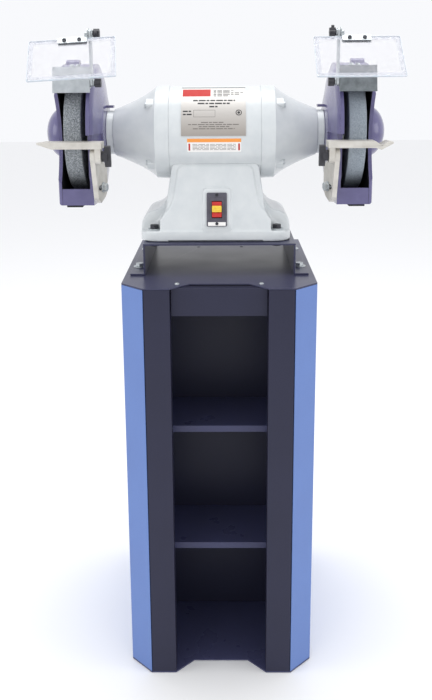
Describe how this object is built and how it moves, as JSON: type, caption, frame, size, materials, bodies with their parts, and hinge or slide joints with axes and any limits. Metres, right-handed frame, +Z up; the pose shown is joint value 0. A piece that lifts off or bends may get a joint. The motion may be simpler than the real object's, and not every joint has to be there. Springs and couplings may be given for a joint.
{
  "type": "pedestal bench grinder",
  "caption": "Double-ended bench grinder on a cabinet stand with open shelves; guarded wheels, tilting tool rests, spark arrestors and clear eye shields.",
  "frame": {"origin": "on the floor under the middle of the cabinet stand", "axes": "+Z up, front with the shelves and switch towards -Y, the shaft along X"},
  "size_m": [0.6023, 0.412, 1.1335],
  "materials": {
    "light_blue_powder_coat": "fine-textured powder coat",
    "navy_powder_coat": "fine-textured powder coat",
    "white_enamel": "glossy enamel over cast iron",
    "purple_grey_enamel": "glossy enamel",
    "vitrified_abrasive": "rough bonded abrasive grit",
    "zinc_plated_steel": "zinc plate",
    "ground_steel": "ground and polished",
    "varnished_windings": "varnished copper and lamination",
    "cast_aluminium": "as cast, machined top",
    "clear_plastic": "clear polycarbonate",
    "black_plastic": "moulded grain",
    "black_rubber": "matt rubber",
    "grey_plastic": "moulded grain",
    "red_plastic": "moulded, smooth",
    "yellow_plastic": "moulded, smooth",
    "printed_aluminium": "printed foil"
  },
  "bodies": {
    "stand": {"stand_top_plate": "navy_powder_coat", "stand_bottom_plate": "navy_powder_coat", "stand_side_panel_left": "light_blue_powder_coat", "stand_side_panel_right": "light_blue_powder_coat", "stand_front_post_left": "navy_powder_coat", "stand_front_post_right": "navy_powder_coat", "stand_header": "navy_powder_coat", "stand_partition": "navy_powder_coat", "stand_back_panel": "light_blue_powder_coat", "shelf_upper": "navy_powder_coat", "shelf_lower": "navy_powder_coat", "riser_bracket": "navy_powder_coat", "base_casting": "white_enamel", "base_cover": "zinc_plated_steel", "start_capacitor": "black_plastic", "cable_gland": "black_rubber", "switch_plate": "grey_plastic", "motor_housing": "white_enamel", "stator": "varnished_windings", "nameplate": "printed_aluminium", "end_bell_left": "white_enamel", "bearing_left": "ground_steel", "guard_body_left": "purple_grey_enamel", "guard_cover_left": "purple_grey_enamel", "rest_bolt_left": "zinc_plated_steel", "end_bell_right": "white_enamel", "bearing_right": "ground_steel", "guard_body_right": "purple_grey_enamel", "guard_cover_right": "purple_grey_enamel", "rest_bolt_right": "zinc_plated_steel"},
    "spindle": {"rotor_shaft": "ground_steel", "grinding_wheel_left": "vitrified_abrasive", "inner_flange_left": "zinc_plated_steel", "outer_flange_left": "zinc_plated_steel", "arbor_nut_left": "zinc_plated_steel", "grinding_wheel_right": "vitrified_abrasive", "inner_flange_right": "zinc_plated_steel", "outer_flange_right": "zinc_plated_steel", "arbor_nut_right": "zinc_plated_steel"},
    "paddle": {"switch_paddle": "red_plastic"},
    "key": {"switch_key": "yellow_plastic"},
    "arrestor_left": {"spark_arrestor_left": "zinc_plated_steel"},
    "arm_left": {"shield_arm_left": "zinc_plated_steel"},
    "lower_knob_left": {"shield_lower_knob_left": "black_plastic"},
    "shield_left": {"shield_clamp_left": "zinc_plated_steel", "shield_lens_left": "clear_plastic"},
    "upper_knob_left": {"shield_upper_knob_left": "black_plastic"},
    "rest_arm_left": {"rest_arm_left": "cast_aluminium"},
    "rest_table_left": {"rest_table_left": "cast_aluminium"},
    "rest_knob_left": {"rest_knob_left": "black_plastic"},
    "arrestor_right": {"spark_arrestor_right": "zinc_plated_steel"},
    "arm_right": {"shield_arm_right": "zinc_plated_steel"},
    "lower_knob_right": {"shield_lower_knob_right": "black_plastic"},
    "shield_right": {"shield_clamp_right": "zinc_plated_steel", "shield_lens_right": "clear_plastic"},
    "upper_knob_right": {"shield_upper_knob_right": "black_plastic"},
    "rest_arm_right": {"rest_arm_right": "cast_aluminium"},
    "rest_table_right": {"rest_table_right": "cast_aluminium"},
    "rest_knob_right": {"rest_knob_right": "black_plastic"}
  },
  "joints": [
    {"name": "spindle_spin", "type": "hinge", "parent": "stand", "child": "spindle", "pos_m": [-0.0065, -0.004, 0.955], "axis": [1, 0, 0], "continuous": true},
    {"name": "switch_rock", "type": "hinge", "parent": "stand", "child": "paddle", "pos_m": [-0.0065, -0.09301, 0.82924], "axis": [1, 0, 0], "range_deg": [-5, 5]},
    {"name": "key_pull", "type": "slide", "parent": "paddle", "child": "key", "axis": [0, -0.9723, 0.2338], "range_m": [0, 0.02]},
    {"name": "arrestor_slide_left", "type": "slide", "parent": "stand", "child": "arrestor_left", "axis": [0, 1, 0], "range_m": [-0.006, 0.003]},
    {"name": "shield_arm_swing_left", "type": "hinge", "parent": "arrestor_left", "child": "arm_left", "pos_m": [-0.2065, -0.102, 1.043], "axis": [1, 0, 0], "range_deg": [-55, 12]},
    {"name": "lower_knob_turn_left", "type": "hinge", "parent": "arrestor_left", "child": "lower_knob_left", "pos_m": [-0.1965, -0.102, 1.043], "axis": [1, 0, 0], "range_deg": [0, 300]},
    {"name": "shield_tilt_left", "type": "hinge", "parent": "arm_left", "child": "shield_left", "pos_m": [-0.2075, -0.102, 1.122], "axis": [1, 0, 0], "range_deg": [-35, 6]},
    {"name": "upper_knob_turn_left", "type": "hinge", "parent": "arm_left", "child": "upper_knob_left", "pos_m": [-0.1965, -0.102, 1.122], "axis": [1, 0, 0], "range_deg": [0, 300]},
    {"name": "rest_arm_slide_left", "type": "slide", "parent": "stand", "child": "rest_arm_left", "axis": [-0.225, -0.9744, 0], "range_m": [0, 0.012]},
    {"name": "rest_table_tilt_left", "type": "hinge", "parent": "rest_arm_left", "child": "rest_table_left", "pos_m": [-0.2015, -0.129, 0.924], "axis": [1, 0, 0], "range_deg": [-3, 40]},
    {"name": "rest_knob_turn_left", "type": "hinge", "parent": "rest_arm_left", "child": "rest_knob_left", "pos_m": [-0.1865, -0.129, 0.924], "axis": [1, 0, 0], "range_deg": [0, 300]},
    {"name": "arrestor_slide_right", "type": "slide", "parent": "stand", "child": "arrestor_right", "axis": [0, 1, 0], "range_m": [-0.006, 0.003]},
    {"name": "shield_arm_swing_right", "type": "hinge", "parent": "arrestor_right", "child": "arm_right", "pos_m": [0.1935, -0.102, 1.043], "axis": [1, 0, 0], "range_deg": [-55, 12]},
    {"name": "lower_knob_turn_right", "type": "hinge", "parent": "arrestor_right", "child": "lower_knob_right", "pos_m": [0.1835, -0.102, 1.043], "axis": [1, 0, 0], "range_deg": [0, 300]},
    {"name": "shield_tilt_right", "type": "hinge", "parent": "arm_right", "child": "shield_right", "pos_m": [0.1945, -0.102, 1.122], "axis": [1, 0, 0], "range_deg": [-35, 6]},
    {"name": "upper_knob_turn_right", "type": "hinge", "parent": "arm_right", "child": "upper_knob_right", "pos_m": [0.1835, -0.102, 1.122], "axis": [1, 0, 0], "range_deg": [0, 300]},
    {"name": "rest_arm_slide_right", "type": "slide", "parent": "stand", "child": "rest_arm_right", "axis": [0.225, -0.9744, 0], "range_m": [0, 0.012]},
    {"name": "rest_table_tilt_right", "type": "hinge", "parent": "rest_arm_right", "child": "rest_table_right", "pos_m": [0.1885, -0.129, 0.924], "axis": [1, 0, 0], "range_deg": [-3, 40]},
    {"name": "rest_knob_turn_right", "type": "hinge", "parent": "rest_arm_right", "child": "rest_knob_right", "pos_m": [0.1735, -0.129, 0.924], "axis": [1, 0, 0], "range_deg": [0, 300]}
  ]
}
